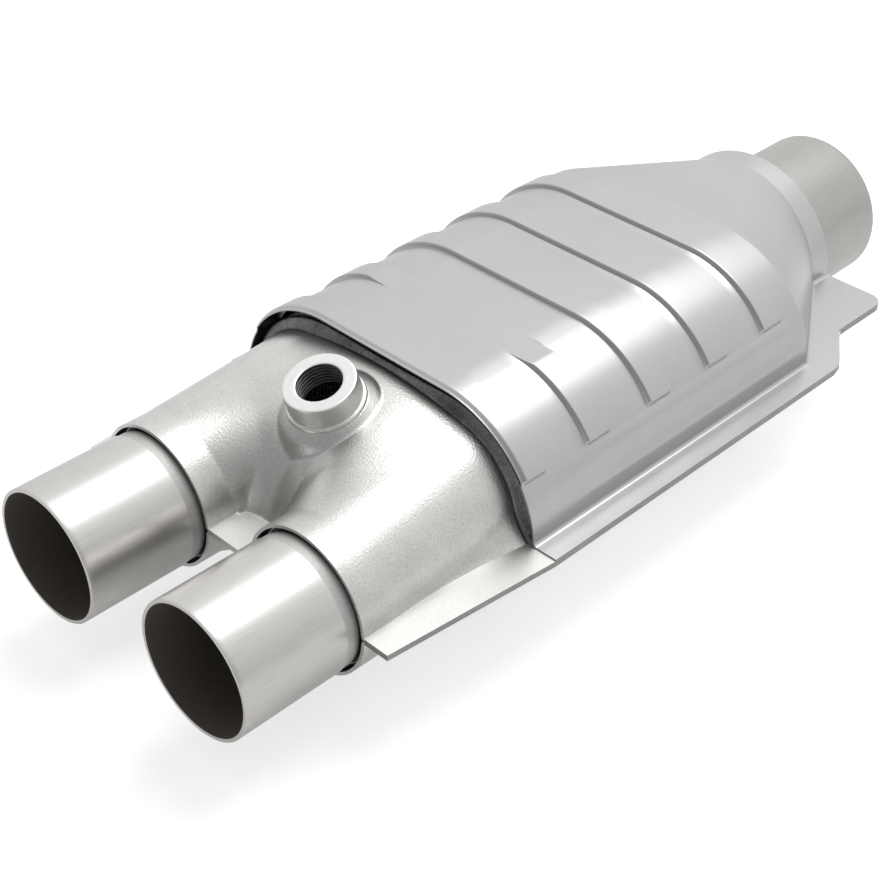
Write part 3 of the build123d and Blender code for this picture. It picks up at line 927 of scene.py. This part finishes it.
gapWeldLook = {"turns": 128, "rows": 7, "gap": 1.15, "length": 3.0, "bulge": 0.5,
               "inletDepth": 4.0, "outletDepth": 7.0}


def makeGapWeld(name, x, pipeR, start, look):
    # A low bead that fills the gap and bulges out at both ends of its length
    t = np.linspace(0, 1, look["rows"])
    gap = look["gap"] + pipeLook["bandCut"]
    inner = pipeR - pipeLook["bandCut"]
    bulge = look["bulge"]
    radius = np.concatenate([inner + gap * (1 - t), inner + gap * t])
    along = np.concatenate([start + bulge - bulge * np.sin(t * np.pi),
                            start + look["length"] - bulge + bulge * np.sin(t * np.pi)])
    return turnedPiece(name, radius[::-1], along[::-1], (x, 0, 0), (0, 1, 0), look["turns"],
                       [materialOf["weld"]])


gapWelds = {}
for side, name in ((-1, "inletWeldLeft"), (1, "inletWeldRight")):
    gapWelds[name] = makeGapWeld(name, side * converter["inletX"], pipeLook["inletR"],
                                 converter["mouth"] + gapWeldLook["inletDepth"], gapWeldLook)
gapWelds["outletWeld"] = makeGapWeld("outletWeld", 0, pipeLook["outletR"],
                                     converter["rear"] - gapWeldLook["outletDepth"], gapWeldLook)
print("gap welds made")


# Catalyst bricks: a honeycomb of open square cells inside a plain skin

brickLook = {"radius": 34.8, "length": 66.0, "starts": (126.0, 203.0), "pitch": 2.0, "wall": 0.36,
             "clear": 0.15, "skin": 1.6, "skinInset": 0.02, "skinTurns": 128}


def makeBrick(name, start, look):
    # Each cell has four walls and four strips of end face at both ends, laid out as arrays
    pitch = look["pitch"]
    nx = int((converter["arcCentre"] + look["radius"]) / pitch)
    nz = int(look["radius"] / pitch)
    i, k = np.meshgrid(np.arange(-nx, nx + 1), np.arange(-nz, nz + 1), indexing="ij")
    cx = (i * pitch).ravel()
    cz = (k * pitch).ravel()
    outer = pitch / 2
    inner = outer - look["wall"] / 2
    pastCentre = np.clip(np.abs(cx) + outer - converter["arcCentre"], 0, None)
    inside = np.hypot(pastCentre, np.abs(cz) + outer) < look["radius"] - look["clear"]
    cx = cx[inside]
    cz = cz[inside]
    corner = np.array([[-1, -1], [1, -1], [1, 1], [-1, 1]])
    y0 = start
    y1 = start + look["length"]
    rings = [(outer, y0), (inner, y0), (inner, y1), (outer, y1)]
    points = np.stack([
        np.stack([cx[:, None] + corner[None, :, 0] * s, np.full((len(cx), 4), y),
                  cz[:, None] + corner[None, :, 1] * s], axis=-1)
        for s, y in rings
    ], axis=1)
    ring = gridFaces(4, 4, wrapCols=True)
    quads = ring[None] + 16 * np.arange(len(cx))[:, None, None]
    cells = points.reshape(-1, 3)
    turns = look["skinTurns"]
    skinAngle = np.linspace(0, 2 * np.pi, turns + 1)[:-1]
    side = np.where(np.cos(skinAngle) >= 0, converter["arcCentre"], -converter["arcCentre"])
    innerR = look["radius"] - look["skin"]
    inset = look["skinInset"]
    skinRings = [(look["radius"], y0), (innerR, y0 + inset), (innerR, y1 - inset), (look["radius"], y1)]
    skin = np.concatenate([
        np.stack([side + r * np.cos(skinAngle), np.full(turns, y), r * np.sin(skinAngle)], axis=-1)
        for r, y in skinRings
    ])
    skinQuads = gridFaces(4, turns, wrapRows=True, wrapCols=True, first=len(cells))
    everything = np.concatenate([cells, skin])
    faces = np.concatenate([quads.reshape(-1, 4)[:, ::-1], skinQuads[:, ::-1]])
    return makeObject(name, toRow(everything), faces, [materialOf["brick"]], sharpAngle=20.0)


bricks = [makeBrick(name, start, brickLook)
          for name, start in zip(("frontBrick", "rearBrick"), brickLook["starts"])]
print("bricks made")


# What stands for what

replacements = [
    (upperShell, "upper_shell", "shell_steel"),
    (lowerShell, "lower_shell", "shell_steel"),
    (heatShield, "heat_shield", "shield_steel"),
    (pipes["inletPipeLeft"], "inlet_pipe_left", "pipe_steel"),
    (pipes["inletPipeRight"], "inlet_pipe_right", "pipe_steel"),
    (pipes["outletPipe"], "outlet_pipe", "pipe_steel"),
    (sensorBoss, "sensor_boss", "boss_steel"),
    (sensorBossWeld, "sensor_boss_weld", "weld_bead"),
    (gapWelds["inletWeldLeft"], "inlet_weld_left", "weld_bead"),
    (gapWelds["inletWeldRight"], "inlet_weld_right", "weld_bead"),
    (gapWelds["outletWeld"], "outlet_weld", "weld_bead"),
    (bricks[0], "front_brick", "brick_ceramic"),
    (bricks[1], "rear_brick", "brick_ceramic"),
]
for piece, node, slotName in replacements:
    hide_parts(node)
    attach(piece, "root")

for node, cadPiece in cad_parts.items():
    if "mat" in node:
        cadPiece.data.materials.clear()
        cadPiece.data.materials.append(materialOf["knit" if "seal" in node else "mat"])
print("pieces placed on the frame")


# Floor, light and camera

studio = {
    "floorHalf": 6.0,
    "floorRoughness": 0.9,
    "floorColour": (0.92, 0.92, 0.92),
    "floorLift": 0.56,
    "floorInMetal": 0.4,
    "worldForLight": 0.62,
    "brightSide": (-0.22, 0.85, 0.50),
    "shadeFrom": -0.4,
    "shadeTo": 0.8,
    "shadeLow": 0.40,
    "shadeHigh": 1.08,
    "lamps": [
        # name, place, aim, width, height, watts
        ("overhead", (-0.02, 0.44, 1.15), (0, 0, 0.04), 0.85, 0.85, 6.2),
    ],
}


def makeFloor():
    half = studio["floorHalf"]
    corners = np.array([[-half, -half, 0], [half, -half, 0], [half, half, 0], [-half, half, 0]])
    mesh = bpy.data.meshes.new("floor")
    mesh.from_pydata(corners.tolist(), [], [(0, 1, 2, 3)])
    material, tree, shader, _ = newMaterial("floorFinish", 0.0, studio["floorRoughness"])
    shader.inputs["Base Color"].default_value = (*studio["floorColour"], 1.0)
    # The floor is lifted to white for the camera and through glass, and less so in metal
    path = tree.nodes.new("ShaderNodeLightPath")
    seen = mathOf(tree, "MAXIMUM", path.outputs["Is Camera Ray"], path.outputs["Is Transmission Ray"])
    mirrored = mathOf(tree, "MULTIPLY", path.outputs["Is Glossy Ray"], studio["floorInMetal"])
    lift = mathOf(tree, "MULTIPLY", mathOf(tree, "MAXIMUM", seen, mirrored), studio["floorLift"])
    shader.inputs["Emission Color"].default_value = (1, 1, 1, 1)
    tree.links.new(lift, shader.inputs["Emission Strength"])
    mesh.materials.append(material)
    floor = bpy.data.objects.new("floor", mesh)
    bpy.context.scene.collection.objects.link(floor)


def makeWorld():
    # White to the camera. What falls on things or shows in them is the same white, softly
    # shaded off towards the front, the right and below: the shade follows how far a direction
    # turns away from the bright side.
    world = bpy.data.worlds.new("studioWorld")
    bpy.context.scene.world = world
    world.use_nodes = True
    tree = world.node_tree
    background = tree.nodes["Background"]
    path = tree.nodes.new("ShaderNodeLightPath")
    place = tree.nodes.new("ShaderNodeTexCoord")
    towards = tree.nodes.new("ShaderNodeVectorMath")
    towards.operation = "DOT_PRODUCT"
    tree.links.new(place.outputs["Generated"], towards.inputs[0])
    towards.inputs[1].default_value = studio["brightSide"]
    shade = rangeOf(tree, towards.outputs["Value"], studio["shadeFrom"], studio["shadeTo"],
                    studio["shadeLow"], studio["shadeHigh"])
    shade.node.interpolation_type = "SMOOTHSTEP"
    mirrored = mathOf(tree, "MAXIMUM", path.outputs["Is Glossy Ray"], path.outputs["Is Transmission Ray"])
    level = rangeOf(tree, mirrored, 0, 1, studio["worldForLight"], 1.0)
    lit = mathOf(tree, "MULTIPLY", shade, level)
    strength = mathOf(tree, "MAXIMUM", lit, path.outputs["Is Camera Ray"])
    tree.links.new(strength, background.inputs["Strength"])
    background.inputs["Color"].default_value = (1, 1, 1, 1)


def placedMatrix(right, up, back, place):
    # A lamp or camera looks against its back direction
    matrix = np.eye(4)
    matrix[:3] = np.stack([right, up, back, place], axis=1)
    return Matrix(matrix.tolist())


def aimedMatrix(place, aim, up):
    back = np.array(place, float) - np.array(aim, float)
    back /= np.linalg.norm(back)
    right = np.cross(up, back)
    right /= np.linalg.norm(right)
    return placedMatrix(right, np.cross(back, right), back, place)


def makeLamps():
    for name, place, aim, width, height, watts in studio["lamps"]:
        lamp = bpy.data.lights.new(name, "AREA")
        lamp.shape = "RECTANGLE"
        lamp.size = width
        lamp.size_y = height
        lamp.energy = watts
        holder = bpy.data.objects.new(name, lamp)
        bpy.context.scene.collection.objects.link(holder)
        holder.matrix_world = aimedMatrix(place, aim, up=(0, 1, 0))


photoCamera = {
    "place": (0.37980, -0.42847, 0.43392),
    "azimuth": math.radians(44.58),
    "elevation": math.radians(36.54),
    "roll": math.radians(0.387),
    "focalPixels": 1807.85,
    "imagePixels": 880.0,
    "sensorWidth": 36.0,
    "clipStart": 0.01,
}


def makeCamera(look):
    azimuth, elevation, roll = look["azimuth"], look["elevation"], look["roll"]
    forward = np.array([-math.sin(azimuth) * math.cos(elevation),
                        math.cos(azimuth) * math.cos(elevation), -math.sin(elevation)])
    right = np.array([math.cos(azimuth), math.sin(azimuth), 0.0])
    up = np.cross(right, forward)
    turnedRight = math.cos(roll) * right + math.sin(roll) * up
    turnedUp = math.cos(roll) * up - math.sin(roll) * right
    camera = bpy.data.cameras.new("photoCamera")
    camera.sensor_width = look["sensorWidth"]
    camera.lens = look["focalPixels"] / look["imagePixels"] * camera.sensor_width
    camera.clip_start = look["clipStart"]
    holder = bpy.data.objects.new("photoCamera", camera)
    bpy.context.scene.collection.objects.link(holder)
    holder.matrix_world = placedMatrix(turnedRight, turnedUp, -forward, look["place"])
    bpy.context.scene.camera = holder


makeFloor()
makeWorld()
makeLamps()
makeCamera(photoCamera)
bpy.context.scene.view_settings.view_transform = "Standard"
print("floor, light and camera made")

bpy.context.view_layer.update()
